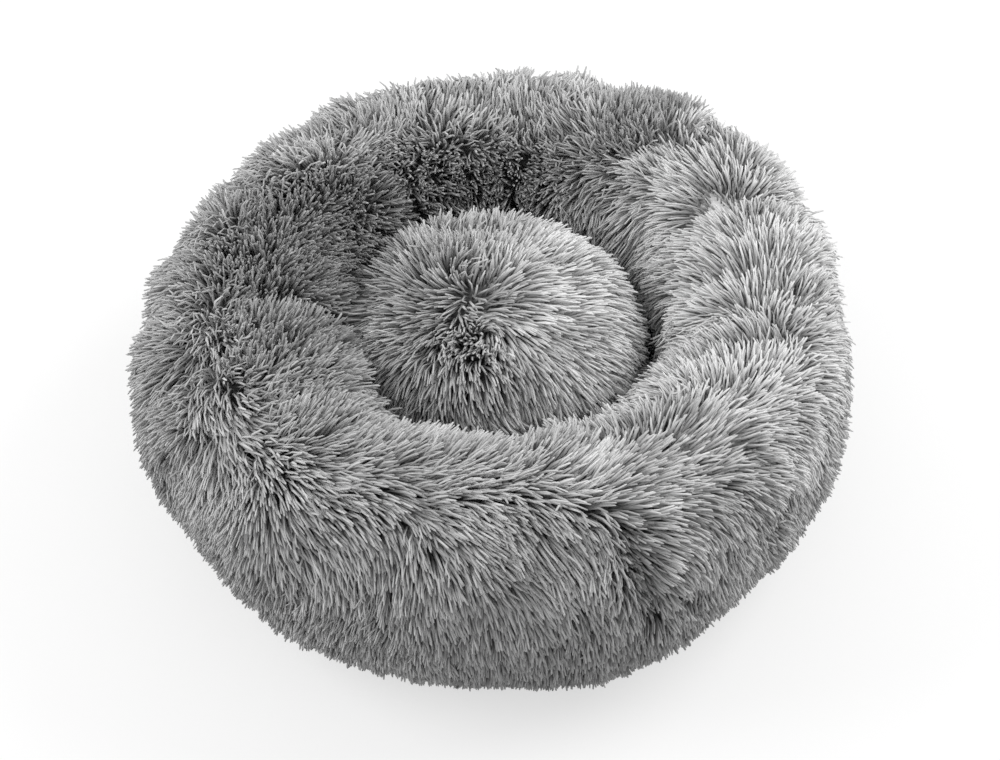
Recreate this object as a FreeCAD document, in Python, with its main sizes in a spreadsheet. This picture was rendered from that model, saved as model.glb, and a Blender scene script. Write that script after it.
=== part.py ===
import FreeCAD, Part
import os
from math import atan2, pi

import Sketcher

# A round, deep-pile pet cushion bed ("donut" bed), 500 mm across and 196 mm high.
# A plush bolster ring stands on a cloth base and holds a loose, fibre-filled cushion in its well.
# Frame: millimetres, +Z up, origin on the floor under the middle of the bed, front towards -Y.
# Pile that stands off the cloth counts as part of each plush cover, so the covers are thick.

DOC = FreeCAD.newDocument("PetCushionBed")
SHEET = DOC.addObject("Spreadsheet::Sheet", "Dims")

DRIVING = {
    # bolster ring: a half-round tube over an upright outer side, on two legs that lean towards the base
    "bed_radius": 250.0,
    "tube_radius": 74.0,
    "tube_axis_height": 122.0,
    "outer_side_foot": 94.0,
    "pile_depth": 18.0,
    "outer_hem_radius": 229.0,
    "inner_foot_radius": 114.0,
    # gathers: soft grooves across the crest and down the inner wall
    "gather_width_radius": 9.0,
    "gather_ring_extra": 4.0,
    "gather_shift": 7.0,
    # base and well floor
    "cloth_thickness": 1.6,
    "base_radius": 204.0,
    "lining_foot_radius": 198.0,
    "lining_thickness": 0.8,
    "gusset_thickness": 1.2,
    "gusset_top": 16.0,
    "floor_radius": 132.0,
    "seam_inner_radius": 109.0,
    "seam_width": 4.0,
    "seam_height": 2.6,
    # grip dots set in the underside
    "dot_ring_small": 60.0,
    "dot_ring_middle": 110.0,
    "dot_ring_large": 165.0,
    "dot_radius": 5.0,
    "dot_depth": 0.8,
    # loose cushion
    "cushion_radius": 101.0,
    "cushion_base_gap": 0.4,
    "cushion_flat_radius": 78.0,
    "cushion_shell_radius": 98.0,
    "cushion_seam_height": 42.0,
    "cushion_side_top": 110.0,
    "shoulder_radius": 40.0,
    "crown_height": 164.0,
    "cushion_cloth": 1.2,
    "edge_tape_width": 2.4,
    "edge_tape_height": 3.5,
    # zip in the rear of the gusset
    "zip_angle": 150.0,
    "zip_height": 8.8,
    "zip_slot": 1.0,
    "coil_width": 1.4,
    "tape_thickness": 0.8,
    "tape_lap": 0.9,
    "tape_outer_radius": 203.8,
    "slider_gap": 0.3,
    "slider_plate": 1.2,
    "slider_half_height": 3.5,
    "slider_length_angle": 2.4,
    "post_length_angle": 0.8,
    "post_thickness": 0.5,
    "lip_height": 0.9,
    "lug_reach": 3.4,
    "lug_height": 1.0,
    "lug_length_angle": 0.8,
    "pull_pin_radius": 0.6,
    "pull_play": 0.08,
    "pull_wall": 0.7,
    "pull_length": 20.0,
    "pull_thickness": 1.0,
    "pull_height": 2.8,
    "pull_side_play": 0.2,
    "slider_rest_angle": 19.0,
    "stop_angle": 0.6,
    # blank care label on the gusset
    "label_length": 30.0,
    "label_height": 11.0,
    "label_thickness": 0.5,
    "label_hem_gap": 1.5,
    "label_bearing": 200.0,
}

# Bearings of the gathers round the ring, in degrees from +X: the strip is gathered by hand, so
# they are not evenly spaced.
GATHER_BEARINGS = [19, 51, 79, 103, 127, 192, 234, 300, 351]
# Number of grip dots in each of their rings.
DOT_RINGS = {"dot_ring_small": 8, "dot_ring_middle": 14, "dot_ring_large": 20}

REAR, FRONT = 90.0, -90.0
Z_AXIS, X_AXIS = FreeCAD.Vector(0, 0, 1), FreeCAD.Vector(1, 0, 0)


class Size:
    """A length that knows its value in mm and the spreadsheet expression that drives it."""

    def __init__(self, value, text):
        self.value = float(value)
        self.text = text

    @staticmethod
    def of(other):
        return other if isinstance(other, Size) else Size(other, f"{other}")

    def __add__(self, other):
        other = Size.of(other)
        return Size(self.value + other.value, f"({self.text} + {other.text})")

    def __sub__(self, other):
        other = Size.of(other)
        return Size(self.value - other.value, f"({self.text} - {other.text})")

    def __mul__(self, other):
        other = Size.of(other)
        return Size(self.value * other.value, f"({self.text} * {other.text})")

    def __truediv__(self, other):
        other = Size.of(other)
        return Size(self.value / other.value, f"({self.text} / {other.text})")


def fill_sheet():
    for row, (name, value) in enumerate(DRIVING.items(), start=1):
        SHEET.set(f"A{row}", name)
        SHEET.set(f"B{row}", str(value))
        SHEET.setAlias(f"B{row}", name)
    DOC.recompute()


def dim(name):
    return Size(DRIVING[name], f"Dims.{name}")


ZERO = Size(0.0, "0")


def leaning_radius(top, foot):
    """Radius of the arc that leaves the point top upright and reaches the point foot."""
    dx = top[0] - foot[0]
    dz = top[1] - foot[1]
    reach = dx if dx.value > 0 else foot[0] - top[0]
    return (reach * reach + dz * dz) / (reach * 2)


def new_body(name):
    body = DOC.addObject("PartDesign::Body", name)
    body.Label = name
    return body


def origin_plane(body, role):
    for feature in body.Origin.OriginFeatures:
        if feature.Role == role:
            return feature
    raise ValueError(f"{body.Name} has no {role}")


def new_sketch(body, name, role="XZ_Plane"):
    sketch = body.newObject("Sketcher::SketchObject", name)
    sketch.AttachmentSupport = (origin_plane(body, role), [""])
    sketch.MapMode = "FlatFace"
    return sketch


def bind(sketch, constraint, size):
    """Adds a constraint whose last value is size and ties it to the spreadsheet."""
    index = sketch.addConstraint(constraint)
    sketch.setExpression(f"Constraints[{index}]", size.text)


def arc_between(start, end, centre, clockwise):
    """A sketch arc from start to end about centre. Sketcher's arcs run anticlockwise."""
    middle = FreeCAD.Vector(centre[0], centre[1], 0)
    first, last = (end, start) if clockwise else (start, end)
    a = FreeCAD.Vector(first[0], first[1], 0) - middle
    b = FreeCAD.Vector(last[0], last[1], 0) - middle
    low, high = atan2(a.y, a.x), atan2(b.y, b.x)
    if high < low:
        high += 2 * pi
    return Part.ArcOfCircle(Part.Circle(middle, Z_AXIS, a.Length), low, high)


def outline(sketch, corners, arcs=None):
    """Draws a closed outline through corners, each (x, z) as sizes.

    arcs gives, for a corner's number, (radius, centre, clockwise) of the arc that leaves it.
    """
    arcs = arcs or {}
    ends = []
    for number, here in enumerate(corners):
        there = corners[(number + 1) % len(corners)]
        p, q = (here[0].value, here[1].value), (there[0].value, there[1].value)
        if number in arcs:
            radius, centre, clockwise = arcs[number]
            shape = arc_between(p, q, (centre[0].value, centre[1].value), clockwise)
            index = sketch.addGeometry(shape, False)
            bind(sketch, Sketcher.Constraint("Radius", index, radius.value), radius)
            ends.append((index, 2, 1) if clockwise else (index, 1, 2))
        else:
            start, end = FreeCAD.Vector(*p, 0), FreeCAD.Vector(*q, 0)
            ends.append((sketch.addGeometry(Part.LineSegment(start, end), False), 1, 2))
    for number, (index, _, last) in enumerate(ends):
        after, first, _ = ends[(number + 1) % len(ends)]
        sketch.addConstraint(Sketcher.Constraint("Coincident", index, last, after, first))
    for (x, z), (index, first, _) in zip(corners, ends):
        for kind, size in (("DistanceX", x), ("DistanceY", z)):
            if abs(size.value) < 1e-9:
                on_axis = -2 if kind == "DistanceX" else -1
                sketch.addConstraint(Sketcher.Constraint("PointOnObject", index, first, on_axis))
            else:
                # the value is the point's coordinate, measured from the sketch's origin
                bind(sketch, Sketcher.Constraint(kind, -1, 1, index, first, size.value), size)


def revolve(body, name, corners, arcs=None, angle=None):
    """Turns an outline in the XZ plane about Z: all the way round, or by angle about XZ."""
    sketch = new_sketch(body, f"{name}_sketch")
    outline(sketch, corners, arcs)
    turn = body.newObject("PartDesign::Revolution", name)
    turn.Profile = sketch
    turn.ReferenceAxis = (sketch, ["V_Axis"])
    if angle is None:
        turn.Angle = 360
    else:
        turn.Midplane = True
        turn.setExpression("Angle", angle.text)
    return turn


def box_outline(x0, x1, z0, z1):
    return [(x0, z0), (x1, z0), (x1, z1), (x0, z1)]


def turn_about_z(item, angle):
    item.Placement = FreeCAD.Placement(FreeCAD.Vector(), FreeCAD.Rotation(Z_AXIS, angle))


def stand_at(item, rotation, radius, bearing, height):
    """Places item at radius and height (sizes) on a bearing, so that it follows the sheet."""
    item.Placement = FreeCAD.Placement(FreeCAD.Vector(), rotation)
    item.setExpression("Placement.Base.x", f"{radius.text} * cos({bearing} deg)")
    item.setExpression("Placement.Base.y", f"{radius.text} * sin({bearing} deg)")
    item.setExpression("Placement.Base.z", height.text)


def compound(name, items):
    group = DOC.addObject("Part::Compound", name)
    group.Label = name
    group.Links = items
    return group


def cut(name, base, tool):
    made = DOC.addObject("Part::Cut", name)
    made.Label = name
    made.Base = base
    made.Tool = tool
    return made


def tube_axis():
    return dim("bed_radius") - dim("tube_radius"), dim("tube_axis_height")


def arch(radius, outer_foot, inner_foot):
    """Corners and arcs of an arch: up the outer leg and side, over the crest and down the inner leg."""
    x, z = tube_axis()
    side_foot = (x + radius, dim("outer_side_foot"))
    outer, crest, inner = (x + radius, z), (x, z + radius), (x - radius, z)
    outer_leg = leaning_radius(side_foot, outer_foot)
    inner_leg = leaning_radius(inner, inner_foot)
    corners = [outer_foot, side_foot, outer, crest, inner, inner_foot]
    arcs = {
        0: (outer_leg, (side_foot[0] - outer_leg, side_foot[1]), False),
        2: (radius, (x, z), False),
        3: (radius, (x, z), False),
        4: (inner_leg, (inner[0] + inner_leg, inner[1]), False),
    }
    return corners, arcs


def shell_outline(outside, outside_arcs, inside, inside_arcs):
    """Corners and arcs of the wall between two open outlines that run the same way."""
    arcs = dict(outside_arcs)
    last = len(outside) + len(inside) - 2
    for number, (radius, centre, _) in inside_arcs.items():
        arcs[last - number] = (radius, centre, True)
    return outside + inside[::-1], arcs


def lining_arch(inset=ZERO):
    """The arch inside the plush, or inset from it."""
    floor_top = dim("cloth_thickness") * 2
    return arch(
        dim("tube_radius") - dim("pile_depth") - inset,
        (dim("lining_foot_radius") - inset, dim("gusset_top")),
        (dim("floor_radius") + inset, floor_top),
    )


def bolster_cover():
    """The plush strip: an arch of pile and backing from the gusset over the crest to the well
    floor, with a soft groove at each gather."""
    body = new_body("bolster_cover_blank")
    outside = arch(
        dim("tube_radius"),
        (dim("outer_hem_radius"), dim("gusset_top")),
        (dim("inner_foot_radius"), dim("cloth_thickness") * 2),
    )
    revolve(body, "bolster_cover_turn", *shell_outline(*outside, *lining_arch()))
    return cut("bolster_cover", body, gather_grooves())


def gather_grooves():
    """One bent rod per gather: half a torus over the crest, and a leg down the inner wall."""
    x, z = tube_axis()
    ring = dim("tube_radius") + dim("gather_ring_extra")
    centre = x + dim("gather_shift")
    top = centre - ring
    foot = top + dim("inner_foot_radius") - (x - dim("tube_radius"))
    lean = FreeCAD.Vector(foot.value - top.value, 0, -z.value)
    rods = []
    for number, bearing in enumerate(GATHER_BEARINGS, start=1):
        turned = FreeCAD.Rotation(Z_AXIS, bearing)
        bow = DOC.addObject("Part::Torus", f"gather_bow_{number}")
        bow.setExpression("Radius1", ring.text)
        bow.setExpression("Radius2", "Dims.gather_width_radius")
        bow.Angle3 = 180
        stand_at(bow, turned * FreeCAD.Rotation(X_AXIS, 90), centre, bearing, z)
        leg = DOC.addObject("Part::Cylinder", f"gather_leg_{number}")
        leg.setExpression("Radius", "Dims.gather_width_radius")
        leg.setExpression("Height", z.text)
        stand_at(leg, turned * FreeCAD.Rotation(Z_AXIS, lean), top, bearing, z)
        rods += [bow, leg]
    return compound("gather_grooves", rods)


def lining_ring(name, inset):
    """The solid ring inside the plush, or inset from it, down to the base panel."""
    body = new_body(name)
    corners, arcs = lining_arch(inset)
    floor = dim("cloth_thickness") + inset
    feet = [(corners[-1][0], floor), (corners[0][0], floor)]
    revolve(body, f"{name}_turn", corners + feet, arcs)
    return body


def bolster_filling():
    """The ring of hollow-fibre stuffing."""
    return lining_ring("bolster_filling", dim("lining_thickness"))


def bolster_lining(filling):
    """The thin bag that holds the stuffing together when it is taken out through the zip."""
    return cut("bolster_lining", lining_ring("bolster_lining_blank", ZERO), filling)


def base_panel(dots):
    """The cloth disc under the whole bed, with the grip dots let into its underside."""
    body = new_body("base_disc")
    corners = box_outline(ZERO, dim("base_radius"), ZERO, dim("cloth_thickness"))
    revolve(body, "base_disc_turn", corners)
    return cut("base_panel", body, dots)


def grip_dots():
    """Round rubber dots in rings, flush with the cloth they are bonded into."""
    dots = []
    for ring, count in DOT_RINGS.items():
        for number in range(count):
            dot = DOC.addObject("Part::Cylinder", f"{ring}_{number + 1}")
            dot.setExpression("Radius", "Dims.dot_radius")
            dot.setExpression("Height", "Dims.dot_depth")
            stand_at(dot, FreeCAD.Rotation(), dim(ring), 360.0 * number / count, ZERO)
            dots.append(dot)
    return compound("grip_dots", dots)


def well_floor():
    """The second cloth disc, which closes the bottom of the well."""
    body = new_body("well_floor")
    low = dim("cloth_thickness")
    revolve(body, "well_floor_turn", box_outline(ZERO, dim("floor_radius"), low, low * 2))
    return body


def inner_seam_tape():
    """The tape over the gathered seam at the foot of the well's wall."""
    body = new_body("inner_seam_tape")
    inside, low = dim("seam_inner_radius"), dim("cloth_thickness") * 2
    corners = box_outline(inside, inside + dim("seam_width"), low, low + dim("seam_height"))
    revolve(body, "inner_seam_tape_turn", corners)
    return body


def gusset_strip():
    """The upright cloth strip between base and plush, all round but for the zip."""
    body = new_body("gusset_strip")
    outside = dim("base_radius")
    corners = box_outline(
        outside - dim("gusset_thickness"), outside, dim("cloth_thickness"), dim("gusset_top")
    )
    revolve(body, "gusset_strip_turn", corners, angle=Size(360, "360") - dim("zip_angle"))
    turn_about_z(body, FRONT)
    return body


def zip_tape(name, low, high):
    body = new_body(name)
    outside = dim("tape_outer_radius")
    corners = box_outline(outside - dim("tape_thickness"), outside, low, high)
    revolve(body, f"{name}_turn", corners, angle=dim("zip_angle"))
    turn_about_z(body, REAR)
    return body


def zip_coil(name, low):
    body = new_body(name)
    inside = dim("tape_outer_radius")
    coil = dim("coil_width")
    corners = box_outline(inside, inside + coil, low, low + coil)
    revolve(body, f"{name}_turn", corners, angle=dim("zip_angle") - dim("stop_angle") * 2)
    turn_about_z(body, REAR)
    return body


def zip_stops():
    """A crimped stop across both coils at each end of the zip."""
    inside, half = dim("tape_outer_radius"), dim("zip_slot") / 2 + dim("coil_width")
    stops = []
    for name, side in (("zip_stop_start", -1), ("zip_stop_end", 1)):
        body = new_body(name)
        middle = dim("zip_height")
        corners = box_outline(inside, inside + dim("coil_width"), middle - half, middle + half)
        revolve(body, f"{name}_turn", corners, angle=dim("stop_angle"))
        swing = (DRIVING["zip_angle"] - DRIVING["stop_angle"]) / 2
        turn_about_z(body, REAR + side * swing)
        stops.append(body)
    return compound("zip_stops", stops)


def slider_faces():
    """Radii of the slider's back plate and front plate, and of the pull's pin."""
    gap, plate = dim("slider_gap"), dim("slider_plate")
    back_outer = dim("tape_outer_radius") - dim("tape_thickness") - gap
    front_inner = dim("tape_outer_radius") + dim("coil_width") + gap
    front_outer = front_inner + plate
    return back_outer - plate, back_outer, front_inner, front_outer


def zip_slider():
    """Front plate with lips and lugs, back plate, and the post between them in the slot."""
    body = new_body("zip_slider")
    back_inner, back_outer, front_inner, front_outer = slider_faces()
    middle, half = dim("zip_height"), dim("slider_half_height")
    low, high = middle - half, middle + half
    lip_reach, lip = front_inner - dim("coil_width") * 0.6, dim("lip_height")
    front = [
        (lip_reach, low),
        (front_outer, low),
        (front_outer, high),
        (lip_reach, high),
        (lip_reach, high - lip),
        (front_inner, high - lip),
        (front_inner, low + lip),
        (lip_reach, low + lip),
    ]
    length = dim("slider_length_angle")
    revolve(body, "slider_front", front, angle=length)
    slim = dim("post_thickness") / 2
    post = box_outline(back_outer, front_inner, middle - slim, middle + slim)
    revolve(body, "slider_post", post, angle=dim("post_length_angle"))
    back = box_outline(back_inner, back_outer, low, high)
    revolve(body, "slider_back", back, angle=length)
    reach = front_outer + dim("lug_reach")
    eye_half, lug = dim("pull_height") / 2 + dim("pull_side_play"), dim("lug_height")
    for name, foot in (("upper", middle + eye_half), ("lower", middle - eye_half - lug)):
        corners = box_outline(front_outer, reach, foot, foot + lug)
        revolve(body, f"slider_lug_{name}", corners, angle=dim("lug_length_angle"))
    pin = new_sketch(body, "slider_pin_sketch", "XY_Plane")
    circle(pin, pin_radius_from_axis(), dim("pull_pin_radius"))
    rod = body.newObject("PartDesign::Pad", "slider_pin")
    rod.Profile = pin
    rod.setExpression("Length", (middle + eye_half + lug).text)
    trim = body.newObject("PartDesign::Pocket", "slider_pin_foot")
    spare = new_sketch(body, "slider_pin_foot_sketch", "XY_Plane")
    circle(spare, pin_radius_from_axis(), dim("pull_pin_radius") + 0.5)
    trim.Profile = spare
    trim.Reversed = True
    trim.setExpression("Length", (middle - eye_half - lug).text)
    turn_about_z(body, DRIVING["slider_rest_angle"])
    return body


def pin_radius_from_axis():
    return slider_faces()[3] + dim("lug_reach") / 2


def circle(sketch, x, radius, y=None):
    """A circle on the sketch's own X axis, or y above it."""
    middle = FreeCAD.Vector(x.value, y.value if y else 0, 0)
    index = sketch.addGeometry(Part.Circle(middle, Z_AXIS, radius.value), False)
    bind(sketch, Sketcher.Constraint("Radius", index, radius.value), radius)
    bind(sketch, Sketcher.Constraint("DistanceX", -1, 1, index, 3, x.value), x)
    sketch.addConstraint(Sketcher.Constraint("PointOnObject", index, 3, -1))


def zip_pull():
    """The tab: an eye round the slider's pin, and a flat bar along the zip."""
    x, middle = pin_radius_from_axis(), dim("zip_height")
    hole = dim("pull_pin_radius") + dim("pull_play")
    half_height = dim("pull_height") / 2
    body = new_body("zip_pull")
    bar = new_sketch(body, "zip_pull_bar_sketch", "XY_Plane")
    half = dim("pull_thickness") / 2
    outline(bar, [
        (x - half, hole),
        (x + half, hole),
        (x + half, dim("pull_length")),
        (x - half, dim("pull_length")),
    ])
    slab = pad_between(body, "zip_pull_bar", bar, middle - half_height, dim("pull_height"))
    eye = new_sketch(body, "zip_pull_eye_sketch", "XY_Plane")
    circle(eye, x, hole + dim("pull_wall"))
    pad_between(body, "zip_pull_eye", eye, middle - half_height, dim("pull_height"))
    bore = new_sketch(body, "zip_pull_bore_sketch", "XY_Plane")
    circle(bore, x, hole)
    drill = body.newObject("PartDesign::Pocket", "zip_pull_bore")
    drill.Profile = bore
    drill.Type = "ThroughAll"
    drill.Midplane = True
    turn_about_z(body, DRIVING["slider_rest_angle"])
    return body


def pad_between(body, name, sketch, low, height):
    """Pads a sketch of the XY plane from low upwards by height."""
    sketch.setExpression("AttachmentOffset.Base.z", low.text)
    pad = body.newObject("PartDesign::Pad", name)
    pad.Profile = sketch
    pad.setExpression("Length", height.text)
    return pad


def care_label():
    """A blank satin label sewn flat on the gusset."""
    length, height, thickness = dim("label_length"), dim("label_height"), dim("label_thickness")
    low = dim("gusset_top") - height - dim("label_hem_gap")
    body = new_body("care_label")
    inside = dim("base_radius")
    corners = box_outline(inside, inside + thickness, low, low + height)
    revolve(body, "care_label_turn", corners, angle=length / inside * 57.29578)
    turn_about_z(body, DRIVING["label_bearing"])
    return body


def cushion_levels():
    bottom = dim("cloth_thickness") * 2 + dim("cushion_base_gap")
    return bottom, dim("cushion_seam_height")


def dome(shrink, seam):
    """Corners and arcs from the seam up the side, round the shoulder and over the crown."""
    side, top = dim("cushion_radius") - shrink, dim("cushion_side_top")
    shoulder = dim("shoulder_radius") - shrink
    turn_x = side - shoulder
    edge = (turn_x, top + shoulder)
    crown_top = dim("crown_height") - shrink
    rise = crown_top - edge[1]
    crown = (turn_x * turn_x + rise * rise) / (rise * 2)
    corners = [(side, seam), (side, top), edge, (ZERO, crown_top)]
    arcs = {
        1: (shoulder, (turn_x, top), False),
        2: (crown, (ZERO, crown_top - crown), False),
    }
    return corners, arcs


def cushion_top_cover():
    """The plush dome of the loose cushion, from its edge seam upwards."""
    body = new_body("cushion_top_cover")
    _, seam = cushion_levels()
    wall = shell_outline(*dome(ZERO, seam), *dome(dim("pile_depth"), seam))
    revolve(body, "cushion_top_cover_turn", *wall)
    return body


def cushion_bowl(shrink):
    """Foot and rim of the cushion's underside, and the arc between them."""
    bottom, seam = cushion_levels()
    foot = (dim("cushion_flat_radius") - shrink, bottom + shrink)
    rim = (dim("cushion_shell_radius") - shrink, seam)
    radius = leaning_radius(rim, foot)
    return foot, rim, (radius, (rim[0] - radius, seam), False)


def cushion_bottom_cover():
    """The plain cloth bowl under the cushion."""
    body = new_body("cushion_bottom_cover")
    bottom, _ = cushion_levels()
    foot, rim, arc = cushion_bowl(ZERO)
    inner_foot, inner_rim, inner_arc = cushion_bowl(dim("cushion_cloth"))
    corners = [(ZERO, bottom), foot, rim, inner_rim, inner_foot, (ZERO, inner_foot[1])]
    arcs = {1: arc, 3: (inner_arc[0], inner_arc[1], True)}
    revolve(body, "cushion_bottom_cover_turn", corners, arcs)
    return body


def cushion_filling():
    """The cushion's stuffing."""
    body = new_body("cushion_filling")
    _, seam = cushion_levels()
    foot, rim, arc = cushion_bowl(dim("cushion_cloth"))
    up, up_arcs = dome(dim("pile_depth"), seam)
    corners = [(ZERO, foot[1]), foot, rim] + up
    arcs = {1: arc}
    for number, entry in up_arcs.items():
        arcs[number + 3] = entry
    revolve(body, "cushion_filling_turn", corners, arcs)
    return body


def cushion_edge_tape():
    """The tape round the cushion's edge seam."""
    body = new_body("cushion_edge_tape")
    _, seam = cushion_levels()
    inside = dim("cushion_shell_radius")
    corners = box_outline(
        inside, inside + dim("edge_tape_width"), seam - dim("edge_tape_height"), seam
    )
    revolve(body, "cushion_edge_tape_turn", corners)
    return body


def build():
    fill_sheet()
    slot, coil = dim("zip_slot") / 2, dim("coil_width")
    middle, lap = dim("zip_height"), dim("tape_lap")
    dots = grip_dots()
    filling = bolster_filling()
    nodes = [
        bolster_cover(),
        bolster_lining(filling),
        filling,
        base_panel(dots),
        dots,
        well_floor(),
        inner_seam_tape(),
        gusset_strip(),
        care_label(),
        zip_tape("zip_tape_lower", dim("cloth_thickness"), middle - slot - coil + lap),
        zip_tape("zip_tape_upper", middle + slot + coil - lap, dim("gusset_top")),
        zip_coil("zip_coil_lower", middle - slot - coil),
        zip_coil("zip_coil_upper", middle + slot),
        zip_stops(),
        zip_slider(),
        zip_pull(),
        cushion_top_cover(),
        cushion_bottom_cover(),
        cushion_filling(),
        cushion_edge_tape(),
    ]
    DOC.recompute()
    return nodes


def check(nodes):
    """Stops if any object failed or any node's shape is empty or not valid."""
    for item in DOC.Objects:
        if "Invalid" in item.State or "Error" in item.State:
            raise RuntimeError(f"{item.Label} did not recompute: {item.State}")
    for node in nodes:
        if node.Shape.isNull() or not node.Shape.isValid():
            raise RuntimeError(f"{node.Label} has no valid shape")
        if not node.Shape.Solids:
            raise RuntimeError(f"{node.Label} holds no solid")


def write(nodes):
    os.makedirs("parts", exist_ok=True)
    for node in nodes:
        node.Shape.exportStep(os.path.join("parts", f"{node.Label}.step"))
        size = node.Shape.optimalBoundingBox()
        print(
            f"{node.Label}: {len(node.Shape.Solids)} solids, {node.Shape.Volume / 1000:.1f} cm3, "
            f"{size.XLength:.1f} x {size.YLength:.1f} x {size.ZLength:.1f} mm"
        )


made = build()
check(made)
write(made)
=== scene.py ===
"""A round shaggy plush pet bed: looks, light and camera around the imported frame.

Metres, +Z up, front towards -Y. Bearings are anticlockwise from +X, seen from above.
"""

import math

import bmesh
import bpy
import numpy as np
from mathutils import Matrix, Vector


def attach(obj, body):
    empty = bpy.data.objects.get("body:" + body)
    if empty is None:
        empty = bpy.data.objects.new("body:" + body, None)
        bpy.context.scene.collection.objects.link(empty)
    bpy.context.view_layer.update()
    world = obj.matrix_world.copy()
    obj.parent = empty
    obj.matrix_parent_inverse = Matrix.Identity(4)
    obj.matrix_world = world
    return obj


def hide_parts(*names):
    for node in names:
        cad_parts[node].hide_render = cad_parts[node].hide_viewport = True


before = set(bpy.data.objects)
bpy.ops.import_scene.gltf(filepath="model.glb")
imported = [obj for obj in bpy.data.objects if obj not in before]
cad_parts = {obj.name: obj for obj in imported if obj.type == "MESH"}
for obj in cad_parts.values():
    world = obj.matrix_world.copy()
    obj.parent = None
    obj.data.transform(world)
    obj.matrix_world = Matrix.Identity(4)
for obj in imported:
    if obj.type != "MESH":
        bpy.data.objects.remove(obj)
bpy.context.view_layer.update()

SCENE = bpy.context.scene
TURN = 2 * math.pi
UP = np.array([0.0, 0.0, 1.0])

# Section of the bolster's backing cloth, as (radius, height): a half-round tube on two leaning legs.
TUBE_AXIS = (0.176, 0.118)
TUBE_RADIUS = 0.056
OUTER_SIDE_FOOT = 0.090
OUTER_HEM = (0.2095, 0.0165)
INNER_FOOT = (0.1315, 0.0040)

# Gathers of the plush strip: bearing in degrees, depth of the crease from 0 to 1, how far outside the crest
# it starts, and how far the lobe from there to the next gather swells, in metres.
GATHERS = (
    (21, 0.45, 0.00, 0.004),
    (51, 0.60, -0.01, 0.001),
    (79, 0.35, -0.01, 0.001),
    (103, 0.40, -0.01, 0.001),
    (124, 0.90, -0.01, 0.006),
    (190, 0.90, 0.01, 0.007),
    (222, 0.75, -0.02, 0.002),
    (300, 0.10, 0.00, 0.003),
    (0, 0.35, 0.00, 0.004),
)
CREASE_DEPTH = 0.014
CREASE_HALF_WIDTH = 0.011
# Radius at which a crease's width is measured.
CREASE_RADIUS = 0.15

# Tables by bearing in degrees. How far the ring's outer side stands out, because it isn't quite round, and
# how much lower its crest lies, in metres.
OUTLINE = (
    (
        0, 15, 26, 39, 50, 56, 64, 72, 81, 92, 108, 120, 131,
        155, 168, 183, 200, 213, 235, 253, 272, 286, 300, 318, 338,
    ),
    (
        0.000, 0.002, 0.005, 0.018, 0.018, 0.010, 0.006, 0.014, 0.011, 0.001, 0.004, 0.008, -0.007,
        -0.011, -0.002, -0.004, 0.004, -0.003, 0.003, -0.002, 0.000, 0.008, 0.003, -0.006, -0.002,
    ),
)
CREST_DROP = ((0, 45, 66, 91, 113, 135, 360), (0.0, 0.002, 0.007, 0.009, 0.006, 0.0, 0.0))

# A cleft in the pile of the outer side, front right: its middle's bearing in degrees, the heights that it
# runs between, its slant, the depth of the fold under it, and how far beside it the pile is disturbed.
CLEFT_BEARING = -68.0
CLEFT_HEIGHTS = (0.075, 0.185)
CLEFT_SLANT = 0.28
CLEFT_DEPTH = 0.011
CLEFT_REACH = 0.022
CLEFT_RADIUS = 0.22

# The zip runs round the rear between these bearings, in degrees.
ZIP_START, ZIP_END = 15.0, 165.0
ZIP_FACE = 0.2038
TOOTH_PITCH = 0.0013

# Pile: a strand's cross-sections, from root to tip, and how thick each but the tip is.
STRAND_STOPS = (0.0, 0.34, 0.70, 0.955, 1.0)
STRAND_GIRTH = (0.75, 1.0, 1.0, 0.74)
STRAND_SIDES = 3
TONES = 64
ROOT_DEPTH = 0.002
# Painted shade and sheen: a strand's tone by how far over it lies, darker where the pile stands up and paler
# where it is brushed flat.
PAINTED_SHADE_AND_SHEEN = ((0.10, 0.45, 0.75, 0.88), (0.25, 0.37, 0.56, 1.0))
RING_PIECES = 14
RING_PILE = 0.028
CUSHION_PILE = 0.027
WIDTHS = (0.0013, 0.0020)
# Spacing of the roots on the ring, low on the well's wall and on the cushion, and how far they scatter.
RING_SPACING, WALL_SPACING, CUSHION_SPACING = 0.00212, 0.0028, 0.0021
JITTER = 0.42


def smoothstep(low, high, value):
    t = np.clip((value - low) / (high - low), 0.0, 1.0)
    return t * t * (3.0 - 2.0 * t)


def window(value, opens, opened, closes, closed):
    """1 from opened to closes, falling smoothly to 0 at opens and closed."""
    return smoothstep(opens, opened, value) * (1 - smoothstep(closes, closed, value))


def unit(vectors, least=1e-12):
    """Vectors brought to length 1. Those shorter than least stay shorter than 1."""
    return vectors / np.maximum(np.linalg.norm(vectors, axis=-1, keepdims=True), least)


def polar(bearing, radius, height):
    """Points from bearings in radians, radii and heights."""
    x = radius * np.cos(bearing)
    return np.stack([x, radius * np.sin(bearing), height + 0 * x], axis=-1)


def smooth_noise(points, seed, wavelength, waves=8):
    """A smooth random value for each point, mostly from -1 to 1."""
    rng = np.random.default_rng(seed)
    directions = unit(rng.normal(size=(waves, 3)))
    stretch = rng.uniform(0.7, 1.5, size=(waves, 1))
    phase = rng.uniform(0.0, TURN, size=waves)
    flat = points.reshape(-1, 3) @ (directions * stretch * TURN / wavelength).T + phase
    return np.sin(flat).sum(axis=1).reshape(points.shape[:-1]) / math.sqrt(waves)


def noise_vectors(points, seed, wavelength):
    return np.stack([smooth_noise(points, seed + k, wavelength) for k in range(3)], axis=-1)


def around_ring(bearing, bearings, values):
    """Values from a table by bearing in degrees, for bearings in radians."""
    return np.interp(np.degrees(bearing), bearings, values, period=360)


# ---- surfaces


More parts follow.
